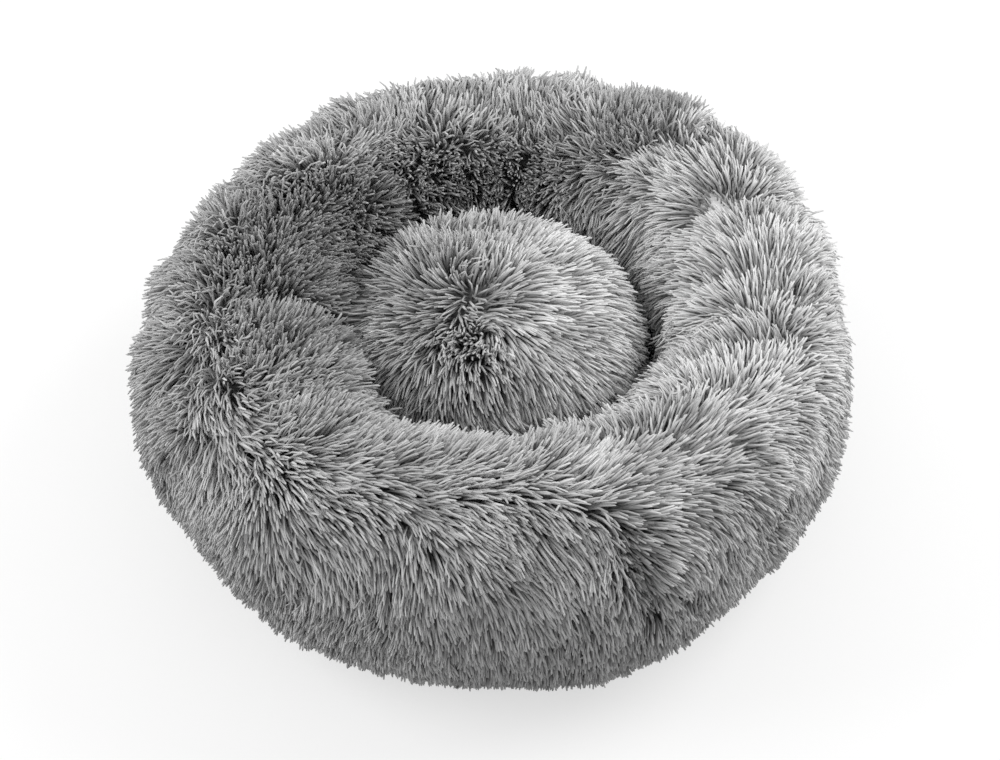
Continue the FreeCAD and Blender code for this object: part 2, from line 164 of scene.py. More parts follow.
class Section:
    """The line that a surface of revolution is made from: radius and height by distance along it."""

    def __init__(self, points):
        steps = np.linalg.norm(np.diff(points, axis=0), axis=1)
        self.along = np.concatenate([[0.0], np.cumsum(steps)])
        self.radius, self.height = points[:, 0], points[:, 1]
        self.length = float(self.along[-1])

    def at(self, along):
        return np.interp(along, self.along, self.radius), np.interp(along, self.along, self.height)

    def outward(self, along):
        """The unit normal's radial and upward parts, to the right of the way the line runs."""
        after = self.at(np.minimum(along + 1e-4, self.length))
        before = self.at(np.maximum(along - 1e-4, 0.0))
        dr, dz = after[0] - before[0], after[1] - before[1]
        size = np.maximum(np.hypot(dr, dz), 1e-12)
        return dz / size, -dr / size


class Skin:
    """A surface closed round the Z axis, as a grid of points, read back at any bearing and distance along."""

    def __init__(self, points, length, facing=1):
        self.points, self.length, self.facing = points, length, facing
        self.slope_around = np.roll(points, -1, axis=0) - np.roll(points, 1, axis=0)
        self.slope_along = np.gradient(points, axis=1)

    def read(self, bearing, along):
        """Points, outward normals, and unit tangents round and along."""
        columns, rows_ = self.points.shape[:2]
        i = bearing / TURN * columns
        j = np.clip(along / self.length * (rows_ - 1), 0, rows_ - 1.001)
        i0, j0 = np.floor(i).astype(int), np.floor(j).astype(int)
        u, v = (i - i0)[:, None], (j - j0)[:, None]
        i1 = (i0 + 1) % columns
        i0 = i0 % columns

        def mix(grid):
            low = grid[i0, j0] * (1 - u) + grid[i1, j0] * u
            high = grid[i0, j0 + 1] * (1 - u) + grid[i1, j0 + 1] * u
            return low * (1 - v) + high * v

        around, along_ = unit(mix(self.slope_around)), unit(mix(self.slope_along))
        return mix(self.points), unit(np.cross(around, along_)) * self.facing, around, along_


def leaning_arc(top, foot, side, count):
    """The arc from foot up to top, where it is upright. side is 1 on the outer leg, -1 on the inner."""
    dx = abs(top[0] - foot[0])
    dz = top[1] - foot[1]
    radius = (dx * dx + dz * dz) / (2 * dx)
    angles = np.linspace(math.asin(dz / radius), 0.0, count)
    return np.stack([top[0] - side * radius * (1 - np.cos(angles)), top[1] - radius * np.sin(angles)], axis=1)


def ring_section():
    """From the outer hem over the crest to the foot of the well's wall."""
    x, z = TUBE_AXIS
    outer = leaning_arc((x + TUBE_RADIUS, OUTER_SIDE_FOOT), OUTER_HEM, 1, 50)
    turn = np.linspace(0.0, math.pi, 120)
    crest = np.stack([x + TUBE_RADIUS * np.cos(turn), z + TUBE_RADIUS * np.sin(turn)], axis=1)
    inner = leaning_arc((x - TUBE_RADIUS, z), INNER_FOOT, -1, 60)[::-1]
    return Section(np.concatenate([outer, crest, inner[1:]]))


RING = ring_section()
CREST = float(RING.along[np.argmax(RING.height)])


def degrees_from(bearing, start):
    """How far a bearing in radians is past one in degrees, in radians from -pi to pi."""
    return np.radians((np.degrees(bearing) - start + 180) % 360 - 180)


def above_foot(along):
    """1 over the crest and most of the well's wall, falling to 0 at the wall's foot."""
    return 1 - smoothstep(CREST + 0.12, RING.length - 0.02, along)


def gather_crease(bearing, along, gather):
    """1 in the crease of a gather, falling to 0 beside it."""
    start, depth, reach, _ = gather
    off = degrees_from(bearing, start) * CREASE_RADIUS
    crease = smoothstep(CREST - reach - 0.005, CREST - reach + 0.045, along) * above_foot(along)
    return depth * np.exp(-((off / CREASE_HALF_WIDTH) ** 2)) * crease


def cleft_at(bearing, height):
    """How far a place is from the cleft, in metres anticlockwise, and how near it is, from 0 to 1."""
    low, high = CLEFT_HEIGHTS
    beside = degrees_from(bearing, CLEFT_BEARING) * CLEFT_RADIUS + (height - (low + high) / 2) * CLEFT_SLANT
    band = window(height, low, low + 0.03, high - 0.03, high)
    return beside, np.exp(-((beside / CLEFT_REACH) ** 2)) * band


def cleft_fold(bearing, along):
    """1 in the fold under the cleft, falling to 0 beside it."""
    _, near = cleft_at(bearing, RING.at(along)[1])
    return near**6 * (1 - smoothstep(CREST - 0.02, CREST, along))


def gathered(bearing, along):
    """How firmly the stitches of the gathers and the cleft hold the cover, from 0 to 1."""
    creases = [gather_crease(bearing, along, gather) for gather in GATHERS]
    return np.max(creases + [cleft_fold(bearing, along)], axis=0)


def ring_swell(bearing, along):
    """How far the backing stands off the plain section: lobes, creases at the gathers, soft lumps."""
    degrees = np.degrees(bearing) % 360.0
    over, wall = smoothstep(CREST - 0.035, CREST + 0.04, along), above_foot(along)
    swell = np.zeros_like(degrees)
    for gather, following in zip(GATHERS, GATHERS[1:] + GATHERS[:1]):
        start, _, _, bulge = gather
        span = (following[0] - start) % 360
        u = np.clip(((degrees - start) % 360) / span * 2 - 1, -1, 1)
        swell += bulge * (1 - np.abs(u) ** 3) * over * wall
        swell -= CREASE_DEPTH * gather_crease(bearing, along, gather)
    swell -= around_ring(bearing, *CREST_DROP) * over * wall
    swell -= CLEFT_DEPTH * cleft_fold(bearing, along)
    outline = around_ring(bearing, *OUTLINE)
    outward = 1 - smoothstep(CREST - 0.10, CREST + 0.03, along)
    lumps = smooth_noise(polar(bearing, 0.2, along * 1.2), 11, 0.16)
    ends = smoothstep(0.0, 0.03, along) * smoothstep(0.0, 0.02, RING.length - along)
    return swell + (outline * outward + lumps * 0.0022) * ends


def ring_point(bearing, along, inset=0.0):
    """Points of the bolster's backing, or inset from it."""
    radius, height = RING.at(along)
    out, up = RING.outward(along)
    swell = ring_swell(bearing, along) - inset
    return polar(bearing, radius + out * swell, height + up * swell)


# The cushion in section. Its foot is (radius, height), and the cloth under it runs out to its rim.
CUSHION_SIDE = 0.0925
CUSHION_SEAM = 0.0425
CUSHION_SIDE_TOP = 0.114
CUSHION_CROWN = 0.1635
CUSHION_SHOULDER = 0.044
CUSHION_FOOT = (0.078, 0.0040)
CUSHION_RIM = 0.097
CUSHION_RISE = 0.048
BOWL_LENGTH = CUSHION_FOOT[0] + CUSHION_RISE


def cushion_section():
    """From the middle of the crown to the edge seam."""
    turn_x = CUSHION_SIDE - CUSHION_SHOULDER
    rise = CUSHION_CROWN - (CUSHION_SIDE_TOP + CUSHION_SHOULDER)
    crown = (turn_x * turn_x + rise * rise) / (2 * rise)
    sweep = np.linspace(0.0, math.asin(turn_x / crown), 60)
    top = np.stack([crown * np.sin(sweep), CUSHION_CROWN - crown * (1 - np.cos(sweep))], axis=1)
    turn = np.linspace(math.pi / 2, 0.0, 50)[1:]
    shoulder = np.stack(
        [turn_x + CUSHION_SHOULDER * np.cos(turn), CUSHION_SIDE_TOP + CUSHION_SHOULDER * np.sin(turn)], axis=1
    )
    drop = np.linspace(CUSHION_SIDE_TOP, CUSHION_SEAM, 30)[1:]
    bow = np.sin((drop - CUSHION_SEAM) / (CUSHION_SIDE_TOP - CUSHION_SEAM) * math.pi) * 0.002
    side = np.stack([CUSHION_SIDE + bow, drop], axis=1)
    return Section(np.concatenate([top, shoulder, side]))


DOME = cushion_section()


def dome_point(bearing, along, inset=0.0):
    """Points of the cushion's domed backing, or inset from it."""
    radius, height = DOME.at(along)
    points = polar(bearing, radius * (1 - inset / CUSHION_SIDE), height - inset)
    fade = smoothstep(0.0, 0.03, DOME.length - along)
    points[..., 2] += smooth_noise(points, 23, 0.11) * 0.0035 * fade
    return points


def places(length, columns, rows_):
    """Bearings and distances along of a grid over a whole turn and length."""
    turn = np.linspace(0, TURN, columns, endpoint=False)
    return np.meshgrid(turn, np.linspace(0.0, length, rows_), indexing="ij")


def grid_of(place, length, columns, rows_, inset):
    """The points of a surface function over a whole turn and length."""
    return place(*places(length, columns, rows_), inset)


# ---- pile


def rows(section, spacing_at, rng):
    """Evenly scattered places on a surface of revolution, as bearings and distances along its section."""
    bearings, alongs = [], []
    at = spacing_at(0.0) / 2
    while at < section.length:
        spacing = spacing_at(at)
        count = max(3, int(TURN * float(section.at(at)[0]) / spacing))
        offsets = rng.uniform(0, 1) + np.arange(count) + rng.uniform(-JITTER, JITTER, count)
        bearings.append(offsets / count * TURN)
        alongs.append(at + rng.uniform(-JITTER, JITTER, count) * spacing)
        at += spacing
    return np.concatenate(bearings) % TURN, np.clip(np.concatenate(alongs), 0.0, section.length)


def clump_of(points, size, seed):
    """A clump number for each root, by cells of about that size with wavy walls."""
    warped = points + noise_vectors(points, seed, size * 5) * size * 0.6
    cells = np.floor(warped / size).astype(np.int64)
    _, number = np.unique(cells, axis=0, return_inverse=True)
    return number.reshape(-1)


def clump_means(values, clump):
    members = np.bincount(clump)
    return np.stack([np.bincount(clump, values[:, k]) / members for k in range(3)], axis=1)[clump]


def centre_lines(roots, normals, comb, length, lean, droop, clump, rng):
    """The strands' centre lines, as (strand, ring or tip, xyz).

    comb is a tangent vector of length 0 to 1, and lean is how far a strand lies over along it. A strand bends
    over more towards its tip, sags by droop, and its tip is drawn to the middle of its clump.
    """
    count = len(roots)
    shared = rng.normal(size=(int(clump.max()) + 1, 3))[clump]
    own = rng.normal(size=(count, 3))
    curl = rng.normal(size=(count, 3))
    start = unit(normals + 0.13 * own + 0.10 * shared)
    stops = np.array(STRAND_STOPS)
    line = np.empty((count, len(stops), 3))
    line[:, 0] = roots - normals * ROOT_DEPTH
    for k in range(1, len(stops)):
        t = (stops[k] + stops[k - 1]) / 2
        over = np.clip(lean * (0.55 + 0.75 * t), 0.0, 0.97)[:, None]
        heading = start * (1 - over) + comb * over + curl * 0.20 * t + own * 0.08
        heading[:, 2] -= droop * t * 1.2
        line[:, k] = line[:, k - 1] + unit(heading) * (length * (stops[k] - stops[k - 1]))[:, None]
    for k in range(1, len(stops)):
        line[:, k] += (clump_means(line[:, k], clump) - line[:, k]) * 0.30 * stops[k] ** 1.5
    return line


def strand_tones_and_painted_shade(clump, lean, seed):
    """A tone from 0, dark, to 1, pale, for each strand, partly shared by its clump.

    Painted sheen and shade: brushed pile is painted pale, for the pale length of its strands, and standing
    pile is painted dark, for its shaded depth.
    """
    rng = np.random.default_rng(seed)
    shared = rng.uniform(-0.12, 0.12, int(clump.max()) + 1)[clump]
    # Painted shade on standing pile and painted sheen on brushed pile, by lean.
    painted_shade_and_sheen = np.interp(lean, *PAINTED_SHADE_AND_SHEEN)
    return np.clip(painted_shade_and_sheen + shared + rng.normal(0, 0.10, len(clump)), 0.0, 1.0)


def strand_mesh(name, line, width, tone, material):
    """Many three-sided tapered strands. tone, from 0 to 1, random tone with painted shade and sheen, picks
    each one's column of the UV map.
    """
    count, stops = len(line), line.shape[1]
    rings, sides = stops - 1, STRAND_SIDES
    heading = unit(np.gradient(line, axis=1))
    across = unit(np.cross(heading, UP + 1e-3))
    third = np.cross(heading, across)
    per_strand = rings * sides + 1
    verts = np.empty((count, per_strand, 3), dtype=np.float32)
    for ring in range(rings):
        girth = (width * STRAND_GIRTH[ring] / 2)[:, None]
        for side in range(sides):
            angle = TURN * side / sides
            offset = across[:, ring] * math.cos(angle) + third[:, ring] * math.sin(angle)
            verts[:, ring * sides + side] = line[:, ring] + offset * girth
    verts[:, -1] = line[:, -1]

    loops, totals, u, v = [], [], [], []
    for ring in range(rings):
        low, high = STRAND_STOPS[ring : ring + 2]
        for side in range(sides):
            here, after = ring * sides + side, ring * sides + (side + 1) % sides
            left, right = side / sides, (side + 1) / sides
            if ring < rings - 1:
                loops += [here, after, after + sides, here + sides]
                u += [left, right, right, left]
                v += [low, low, high, high]
                totals.append(4)
            else:
                loops += [here, after, rings * sides]
                u += [left, right, (left + right) / 2]
                v += [low, low, high]
                totals.append(3)
    loops = (np.array(loops)[None, :] + (np.arange(count) * per_strand)[:, None]).ravel()
    column = np.minimum((tone * TONES).astype(int), TONES - 1)
    uv = np.empty((count, len(u), 2), dtype=np.float32)
    uv[:, :, 0] = (column[:, None] + 0.1 + 0.8 * np.array(u)[None, :]) / TONES
    uv[:, :, 1] = 0.02 + 0.96 * np.array(v)[None, :]
    totals = np.tile(totals, count)
    return mesh_from_arrays(name, verts, loops, totals, uv, material)


def mesh_from_arrays(name, verts, loops, totals, uv, material):
    """A smooth-shaded piece. totals holds each face's number of corners, and uv a pair for each corner."""
    mesh = bpy.data.meshes.new(name)
    mesh.vertices.add(verts.size // 3)
    mesh.vertices.foreach_set("co", verts.astype(np.float32).ravel())
    mesh.loops.add(len(loops))
    mesh.loops.foreach_set("vertex_index", loops.astype(np.int32))
    starts = np.concatenate([[0], np.cumsum(totals)[:-1]])
    mesh.polygons.add(len(totals))
    mesh.polygons.foreach_set("loop_start", starts.astype(np.int32))
    mesh.update(calc_edges=True)
    layer = mesh.uv_layers.new(name="OFBake")
    layer.data.foreach_set("uv", uv.astype(np.float32).ravel())
    mesh.shade_smooth()
    mesh.materials.append(material)
    piece = bpy.data.objects.new(name, mesh)
    SCENE.collection.objects.link(piece)
    return piece


def grid_mesh(name, points, material, wrap=True, tube=False):
    """A mesh from a grid of points, (columns, rows, xyz).

    wrap closes it round the columns, and tube round the rows. A tube without wrap gets a cap at each end.
    """
    columns, rows_ = points.shape[:2]
    across, down = (columns if wrap else columns - 1), (rows_ if tube else rows_ - 1)
    i, j = np.meshgrid(np.arange(across), np.arange(down), indexing="ij")
    i, j = i.ravel(), j.ravel()
    i1, j1 = (i + 1) % columns, (j + 1) % rows_
    loops = np.stack([i * rows_ + j, i1 * rows_ + j, i1 * rows_ + j1, i * rows_ + j1], axis=1)
    corner_u = np.stack([i, i + 1, i + 1, i], axis=1) / across
    corner_v = np.stack([j, j, j + 1, j + 1], axis=1) / down
    uv = np.stack([corner_u, corner_v], axis=2).reshape(-1, 2)
    totals = np.full(len(loops), 4)
    loops = loops.ravel()
    if tube and not wrap:
        first, last = np.arange(rows_), np.arange(rows_)[::-1] + (columns - 1) * rows_
        loops = np.concatenate([loops, first, last])
        totals = np.concatenate([totals, [rows_, rows_]])
        uv = np.concatenate([uv, np.full((2 * rows_, 2), 0.5)])
    return mesh_from_arrays(name, points, loops, totals, uv, material)


# Cloth simulation of a cover: frames, the stuffing's pressure, how much longer the cloth is than the surface
# it starts from, and how far a point may move, in metres.
SETTLE_FRAMES = 20
STUFFING_PRESSURE = 4.0
CLOTH_SLACK = 0.05
MOST_MOVED = 0.0055
# The ring's cover starts this much smaller, because it swells.
SMALLER_START = 0.002


def plumped(name, points, held, facing=1):
    """Lets a cover fill out and wrinkle over its stuffing, and returns its points.

    held is 1 where the cover is sewn down, 0 where it is free. facing is -1 where the grid faces inwards.
    """
    piece = grid_mesh(name, points, bpy.data.materials.new(name))
    pins = piece.vertex_groups.new(name="held")
    for number, weight in enumerate(np.clip(held, 0.0, 1.0).ravel().tolist()):
        pins.add([number], weight, "REPLACE")
    cloth = piece.modifiers.new("Cloth", "CLOTH")
    settings = cloth.settings
    settings.quality = 4
    settings.mass = 0.35
    settings.tension_stiffness = 25.0
    settings.compression_stiffness = 10.0
    settings.bending_stiffness = 0.15
    settings.shrink_min = -CLOTH_SLACK
    settings.use_pressure = True
    settings.uniform_pressure_force = STUFFING_PRESSURE * facing
    settings.vertex_group_mass = "held"
    settings.effector_weights.gravity = 0.0
    cloth.point_cache.frame_start, cloth.point_cache.frame_end = 1, SETTLE_FRAMES
    for number in range(1, SETTLE_FRAMES + 1):
        SCENE.frame_set(number)
    settled = piece.evaluated_get(bpy.context.evaluated_depsgraph_get())
    found = np.empty(points.size, dtype=np.float32)
    settled.data.vertices.foreach_get("co", found)
    bpy.data.objects.remove(piece)
    SCENE.frame_set(1)
    moved = found.reshape(points.shape) - points
    reach = np.linalg.norm(moved, axis=-1, keepdims=True)
    return points + moved * np.minimum(1.0, MOST_MOVED / np.maximum(reach, 1e-9))


def subdivided(piece):
    """Adds one level of subdivision to a cover that came out of the simulation."""
    modifier = piece.modifiers.new("Subdivision", "SUBSURF")
    modifier.levels = modifier.render_levels = 1
    return piece


def turned_tube(name, outline, material, start=0.0, stop=360.0, *, columns, wave=0.0, waves=0):
    """A closed outline of (radius, height) turned about Z from one bearing to another, in degrees."""
    whole = stop - start >= 360.0
    bearing = np.radians(np.linspace(start, stop, columns, endpoint=not whole))[:, None]
    outline = np.array(outline)
    radius = outline[None, :, 0] + wave * np.sin(bearing * waves)
    return grid_mesh(name, polar(bearing, radius, outline[:, 1]), material, wrap=whole, tube=True)


def rounded_box(r0, r1, z0, z1, bevel):
    """Outline of a rectangle with cut corners, as (radius, height) pairs."""
    return [
        (r0 + bevel, z0), (r1 - bevel, z0), (r1, z0 + bevel), (r1, z1 - bevel),
        (r1 - bevel, z1), (r0 + bevel, z1), (r0, z1 - bevel), (r0, z0 + bevel),
    ]


# ---- materials


def new_material(name):
    material = bpy.data.materials.new(name)
    material.use_nodes = True
    tree = material.node_tree
    return material, tree.nodes, tree.links, tree.nodes["Principled BSDF"]


def set_values(node, values):
    for name, value in values.items():
        node.inputs[name].default_value = value


def add_node(nodes, kind, values=None, **settings):
    """A new node with these settings and input values."""
    node = nodes.new(kind)
    for name, value in settings.items():
        setattr(node, name, value)
    set_values(node, values or {})
    return node


def ramp(nodes, stops):
    node = nodes.new("ShaderNodeValToRGB")
    elements = node.color_ramp.elements
    while len(elements) < len(stops):
        elements.new(0.5)
    for element, (at, grey) in zip(elements, stops):
        element.position = at
        element.color = (grey, grey, grey, 1.0)
    return node


def grey_and_relief(nodes, links, shader, value, stops, height, strength, distance):
    """Makes a surface's greys from one value by a ramp, and its relief from another."""
    shade = ramp(nodes, stops)
    links.new(value, shade.inputs["Fac"])
    links.new(shade.outputs["Color"], shader.inputs["Base Color"])
    bump = add_node(nodes, "ShaderNodeBump", {"Strength": strength, "Distance": distance})
    links.new(height, bump.inputs["Height"])
    links.new(bump.outputs["Normal"], shader.inputs["Normal"])


def plush_material(name, tips):
    """Pile with painted shade, dark at the root where the pile shades itself and paler to the tip. The UV map
    gives a strand's tone, with its painted shade and sheen, and height along it.
    """
    material, nodes, links, shader = new_material(name)
    where = add_node(nodes, "ShaderNodeUVMap", uv_map="OFBake")
    split = nodes.new("ShaderNodeSeparateXYZ")
    links.new(where.outputs["UV"], split.inputs[0])
    # Painted shade: each strand darker towards its root, deep in the pile.
    height = ramp(nodes, [(0.0, 0.04), (0.2, 0.14), (0.5, 0.44), (0.8, tips), (1.0, tips * 1.06)])
    links.new(split.outputs["Y"], height.inputs["Fac"])
    # Tone ramp: random tone, with painted shade and sheen by lean.
    tone = ramp(nodes, [(0.0, 0.36), (0.5, 0.80), (1.0, 1.24)])
    links.new(split.outputs["X"], tone.inputs["Fac"])
    mix = add_node(nodes, "ShaderNodeMix", {"Factor": 1.0}, data_type="RGBA", blend_type="MULTIPLY")
    links.new(height.outputs["Color"], mix.inputs["A"])
    links.new(tone.outputs["Color"], mix.inputs["B"])
    links.new(mix.outputs["Result"], shader.inputs["Base Color"])
    set_values(shader, {"Roughness": 0.85, "Specular IOR Level": 0.06})
    set_values(shader, {"Sheen Weight": 0.25, "Sheen Roughness": 0.5})
    return material


def cloth_material(name, dark, light, weave, roughness=0.85, relief=0.3):
    """Plain-woven cloth: threads of two tones crossing at the given spacing in metres, with their relief."""
    material, nodes, links, shader = new_material(name)
    coords = nodes.new("ShaderNodeTexCoord")
    crossed = add_node(nodes, "ShaderNodeMath", operation="MULTIPLY")
    threads = {"Scale": 1.0 / (weave * TURN), "Distortion": 2.0, "Detail": 1.0}
    for number, turn in enumerate((0.0, math.pi / 2)):
        place = add_node(nodes, "ShaderNodeMapping", {"Rotation": (0.0, 0.0, turn)})
        wave = add_node(nodes, "ShaderNodeTexWave", threads)
        links.new(coords.outputs["Object"], place.inputs["Vector"])
        links.new(place.outputs["Vector"], wave.inputs["Vector"])
        links.new(wave.outputs["Fac"], crossed.inputs[number])
    fleck = add_node(nodes, "ShaderNodeTexNoise", {"Scale": 90.0, "Detail": 6.0})
    links.new(coords.outputs["Object"], fleck.inputs["Vector"])
    blend = add_node(nodes, "ShaderNodeMath", {1: 0.6}, operation="MULTIPLY_ADD")
    links.new(crossed.outputs[0], blend.inputs[0])
    links.new(fleck.outputs["Fac"], blend.inputs[2])
    stops = [(0.35, dark), (1.0, light)]
    grey_and_relief(nodes, links, shader, blend.outputs[0], stops, crossed.outputs[0], relief, weave * 0.3)
    set_values(shader, {"Roughness": roughness, "Sheen Weight": 0.15})
    return material


def speckled_material(name, dark, light, scale, roughness, metallic=0.0, relief=0.1):
    """Rubber, plastic, fibre or metal: a fine noise in its colour and relief."""
    material, nodes, links, shader = new_material(name)
    coords = nodes.new("ShaderNodeTexCoord")
    noise = add_node(nodes, "ShaderNodeTexNoise", {"Scale": scale, "Detail": 5.0})
    links.new(coords.outputs["Object"], noise.inputs["Vector"])
    speckle = noise.outputs["Fac"]
    grey_and_relief(nodes, links, shader, speckle, [(0.3, dark), (0.7, light)], speckle, relief, 0.0003)
    set_values(shader, {"Roughness": roughness, "Metallic": metallic})
    return material


def settle(piece, body, slot, *nodes):
    """Puts a finished piece on its body, in place of the CAD nodes it stands for. slot is not used."""
    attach(piece, body)
    if nodes:
        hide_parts(*nodes)
    return piece


# ---- bolster

# Sideways lay of the pile by bearing in degrees, outside the parting and inside it: 1 is anticlockwise.
SIDEWAYS_BEARINGS = (-156, -146, -125, -90, 0, 40, 62, 90, 120, 145, 185, 204)
SIDEWAYS_OUTSIDE = (0.2, 0.75, 0.95, 1.0, 0.95, 0.8, 0.2, -0.1, -0.2, -0.2, -0.2, 0.2)
SIDEWAYS_INSIDE = (0.3, 0.75, 0.95, 1.0, 0.95, 0.8, 0.2, 0.1, 0.5, 0.9, 0.8, 0.3)
# How much of the pile's slope into the well is kept on the well's side.
DOWNHILL = (1.0, 1.0, 1.0, 1.0, 1.0, 1.0, 1.0, 0.5, 0.15, 0.0, 0.2, 1.0)
# How far outside the crest the pile parts, in metres, by bearing. It parts inside the crest at the back.
PARTING = (
    (-156, -140, -124, -100, -88, -62, -30, 0, 40, 62, 100, 122, 136, 150, 172, 190),
    (
        0.012, 0.022, 0.025, 0.010, 0.004, 0.014, 0.005, 0.000, -0.005, -0.020, -0.022, -0.020,
        -0.012, 0.008, 0.019, 0.014,
    ),
)
# How far the pile on the well's side lies over, by bearing: flat on the right, upright at the back.
WELL_LEAN = (
    (-156, -142, -128, -90, 0, 35, 52, 90, 125, 160, 185),
    (0.22, 0.38, 0.60, 0.76, 0.82, 0.78, 0.16, 0.06, 0.12, 0.16, 0.22),
)
# The same for the outer side, by height: it hangs below the crest and stands out at the foot.
OUTER_LEAN = ((0.0, 0.03, 0.08, 0.13, 0.18), (0.42, 0.40, 0.49, 0.66, 0.77))
BRUSHED_LEAN = 0.88
# Share of its full length that the outer side's pile has, by height.
OUTER_LENGTH = ((0.0, 0.04, 0.10, 0.16), (0.52, 0.60, 0.84, 1.0))


def ring_comb(bearing, along, points, around, inward):
    """Which way the ring's pile lies, how far over, and how much it sags."""
    past = along - CREST + around_ring(bearing, *PARTING)
    off = past - smooth_noise(points, 51, 0.22) * 0.006
    off = off / np.where(off < 0, 0.036, 0.024)
    inside = smoothstep(-0.025, 0.035, past)
    sideways = around_ring(bearing, SIDEWAYS_BEARINGS, SIDEWAYS_OUTSIDE) * (1 - inside)
    sideways += around_ring(bearing, SIDEWAYS_BEARINGS, SIDEWAYS_INSIDE) * inside
    downhill = 1 - inside * (1 - around_ring(bearing, SIDEWAYS_BEARINGS, DOWNHILL))
    turning = 1 / np.cosh(off) * downhill + (1 - downhill)
    comb = around * (sideways * turning)[:, None] + inward * (np.tanh(off) * downhill)[:, None]
    comb += noise_vectors(points, 61, 0.075) * 0.26 + noise_vectors(points, 65, 0.034) * 0.15
    beside, cleft = cleft_at(bearing, points[:, 2])
    cleft = cleft * (1 - inside)
    comb = comb * (1 - 0.6 * cleft)[:, None]
    comb += around * (np.tanh(beside / 0.006) * 0.9 * cleft)[:, None]
    comb = unit(comb, 1.0)
    inner = smoothstep(-0.010, 0.035, past)
    well = around_ring(bearing, *WELL_LEAN)
    outer = np.interp(points[:, 2], *OUTER_LEAN)
    # Pile brushed flat on the right lies over further, and the tones paint it paler: painted sheen.
    brushed = smoothstep(0.2, 0.85, np.cos(bearing - math.radians(10)))
    outer = outer + (BRUSHED_LEAN - outer) * 0.8 * brushed * smoothstep(0.05, 0.15, points[:, 2])
    upright = window(np.degrees(bearing), 49, 53, 60, 67)
    outer = outer * (1 - 0.6 * upright * smoothstep(0.09, 0.14, points[:, 2]))
    well = well + (BRUSHED_LEAN - well) * 0.8 * brushed
    lean = outer * (1 - inner) + well * inner + 0.06 * smooth_noise(points, 71, 0.05)
    lean = lean + 0.12 * cleft - 0.40 * cleft**6
    droop = 0.05 + 0.10 * (1 - inner) + 0.20 * (1 - smoothstep(0.0, 0.03, along))
    return comb, np.clip(lean, 0.05, 0.90), droop


def ring_pile_length(bearing, along, height):
    """Pile length in metres, shorter by the floor, the well's foot, the parked slider and the cleft."""
    outer = np.interp(height, *OUTER_LENGTH)
    outer = np.where(along < CREST, outer, 1.0)
    parked = window(np.degrees(bearing), 9, 12, 18, 21) * (1 - smoothstep(0.03, 0.05, height))
    inner = 0.6 + 0.4 * smoothstep(0.0, 0.06, RING.length - along)
    return RING_PILE * outer * inner * (1 - 0.6 * parked - 0.4 * cleft_fold(bearing, along))


def pile(name, strands, group, material, body, slot):
    """Strands, as (line, width, tone), made into one piece for each group."""
    for number in range(group.max() + 1):
        line, width, tone = (part[group == number] for part in strands)
        settle(strand_mesh(f"{name}_{number + 1}", line, width, tone, material), body, slot)


def build_bolster():
    """Backing cloth of the ring, its pile, and the bag of stuffing inside."""
    backing = cloth_material("plush_backing", 0.05, 0.12, 0.0016)
    bearing, along = places(RING.length, 160, 76)
    held = 1 - smoothstep(0.006, 0.030, along) * smoothstep(0.006, 0.020, RING.length - along)
    held = np.maximum(held, gathered(bearing, along))
    points = plumped("ring_cover", ring_point(bearing, along, inset=SMALLER_START), held)
    skin = subdivided(grid_mesh("bolster_skin", points, backing))
    settle(skin, "root", "grey_plush", "bolster_cover")
    surface = Skin(points, RING.length)

    rng = np.random.default_rng(5)
    bearing, along = rows(RING, lambda at: WALL_SPACING if at > CREST + 0.125 else RING_SPACING, rng)
    roots, normals, around, inward = surface.read(bearing, along)
    comb, lean, droop = ring_comb(bearing, along, roots, around, inward)
    clump = clump_of(roots, 0.0058, 41)
    length = ring_pile_length(bearing, along, roots[:, 2]) * rng.uniform(0.84, 1.08, len(roots))
    line = centre_lines(roots, normals, comb, length, lean, droop, clump, rng)
    lift_hem(line, bearing)
    # Tones with painted shade and sheen by how far the pile lies over.
    tone = strand_tones_and_painted_shade(clump, lean, 6)
    width = rng.uniform(*WIDTHS, len(roots))
    plush = plush_material("plush_grey", 0.73)
    sector = (bearing / TURN * RING_PIECES).astype(int)
    pile("bolster_pile", (line, width, tone), sector, plush, "root", "grey_plush")
    build_stuffing()


def lift_hem(line, bearing):
    """Keeps the pile off the floor, and above the zip where there is one."""
    over_zip = window(np.degrees(bearing), ZIP_START - 4, ZIP_START, ZIP_END, ZIP_END + 4)
    lowest = 0.0012 + 0.0128 * over_zip
    line[..., 2] = np.maximum(line[..., 2], lowest[:, None])


def ring_bag(inset, seed, lump, wavelength):
    """A closed ring inside the bolster's backing, as a grid of points, with lumps of its own."""
    wall = grid_of(ring_point, RING.length, 240, 90, inset=inset)
    lumps = smooth_noise(wall, seed, wavelength) * lump
    ring_line = unit(wall * np.array([1, 1, 0])) * TUBE_AXIS[0] + UP * TUBE_AXIS[1]
    wall = wall + unit(ring_line - wall) * np.maximum(lumps, 0)[..., None]
    wall[..., 2] = np.maximum(wall[..., 2], 0.0035 + inset)
    return wall


def build_stuffing():
    bag_cloth = cloth_material("lining_cloth", 0.66, 0.84, 0.0009)
    fibre = speckled_material("fibre_filling", 0.72, 0.90, 240.0, 0.95, relief=0.6)
    for name, inset, seed, lump, wavelength, material, slot, node in (
        ("stuffing_bag", 0.0035, 31, 0.004, 0.05, bag_cloth, "lining_cloth", "bolster_lining"),
        ("ring_stuffing", 0.0085, 33, 0.003, 0.02, fibre, "fibre_filling", "bolster_filling"),
    ):
        piece = grid_mesh(name, ring_bag(inset, seed, lump, wavelength), material, tube=True)
        settle(piece, "root", slot, node)


# ---- cushion

# The middle of the cushion's whorl of pile.
WHORL = np.array([-0.022, -0.012])


